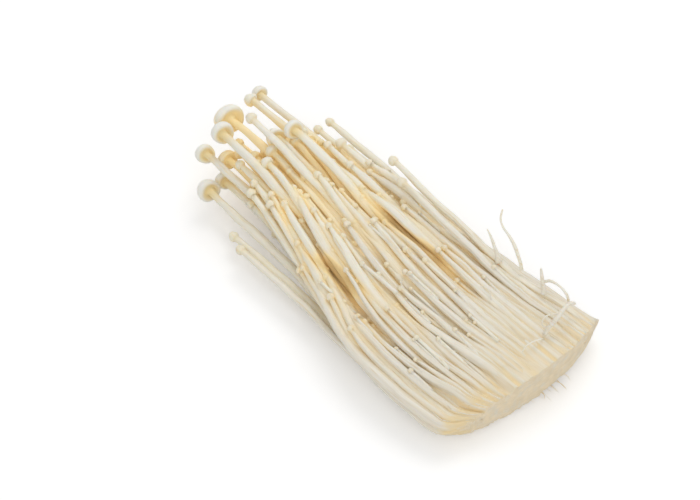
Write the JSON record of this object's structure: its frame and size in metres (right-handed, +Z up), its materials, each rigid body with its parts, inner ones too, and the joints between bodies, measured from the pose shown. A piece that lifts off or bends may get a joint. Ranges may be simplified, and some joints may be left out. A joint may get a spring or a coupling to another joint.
{
  "type": "enoki mushroom bunch",
  "caption": "A bunch of fresh enoki mushrooms lying on its side, long thin ivory stems with small round caps, joined at a flat cut base.",
  "frame": {"origin": "middle of the bunch's outline, on the surface that it lies on", "axes": "+X along the stems from the cut base to the caps, +Y across the bunch, +Z up from the surface"},
  "size_m": [0.127, 0.059, 0.0284],
  "materials": {
    "mushroom": "satin, moist mushroom flesh, ivory stems with fine lengthwise fibres and creamier caps",
    "base": "matt, fibrous cut mushroom flesh, beige"
  },
  "bodies": {
    "root": {"cut_base": "base", "mushroom_01": "mushroom", "mushroom_02": "mushroom", "mushroom_03": "mushroom", "mushroom_04": "mushroom", "mushroom_05": "mushroom", "mushroom_06": "mushroom", "mushroom_07": "mushroom", "mushroom_08": "mushroom", "mushroom_09": "mushroom", "mushroom_10": "mushroom", "mushroom_11": "mushroom", "mushroom_12": "mushroom", "mushroom_13": "mushroom", "mushroom_14": "mushroom", "mushroom_15": "mushroom", "mushroom_16": "mushroom", "mushroom_17": "mushroom", "mushroom_18": "mushroom", "mushroom_19": "mushroom", "mushroom_20": "mushroom", "mushroom_21": "mushroom", "mushroom_22": "mushroom", "mushroom_23": "mushroom", "mushroom_24": "mushroom", "mushroom_25": "mushroom", "mushroom_26": "mushroom", "mushroom_27": "mushroom", "mushroom_28": "mushroom", "mushroom_29": "mushroom", "mushroom_30": "mushroom", "mushroom_31": "mushroom", "mushroom_32": "mushroom", "mushroom_33": "mushroom", "mushroom_34": "mushroom", "mushroom_35": "mushroom", "mushroom_36": "mushroom", "mushroom_37": "mushroom", "mushroom_38": "mushroom", "mushroom_39": "mushroom", "mushroom_40": "mushroom", "mushroom_41": "mushroom", "mushroom_42": "mushroom", "mushroom_43": "mushroom", "mushroom_44": "mushroom", "mushroom_45": "mushroom", "mushroom_46": "mushroom", "mushroom_47": "mushroom", "mushroom_48": "mushroom", "mushroom_49": "mushroom", "mushroom_50": "mushroom", "mushroom_51": "mushroom", "mushroom_52": "mushroom", "mushroom_53": "mushroom", "mushroom_54": "mushroom", "mushroom_55": "mushroom", "mushroom_56": "mushroom", "mushroom_57": "mushroom", "mushroom_58": "mushroom", "mushroom_59": "mushroom"}
  },
  "joints": []
}
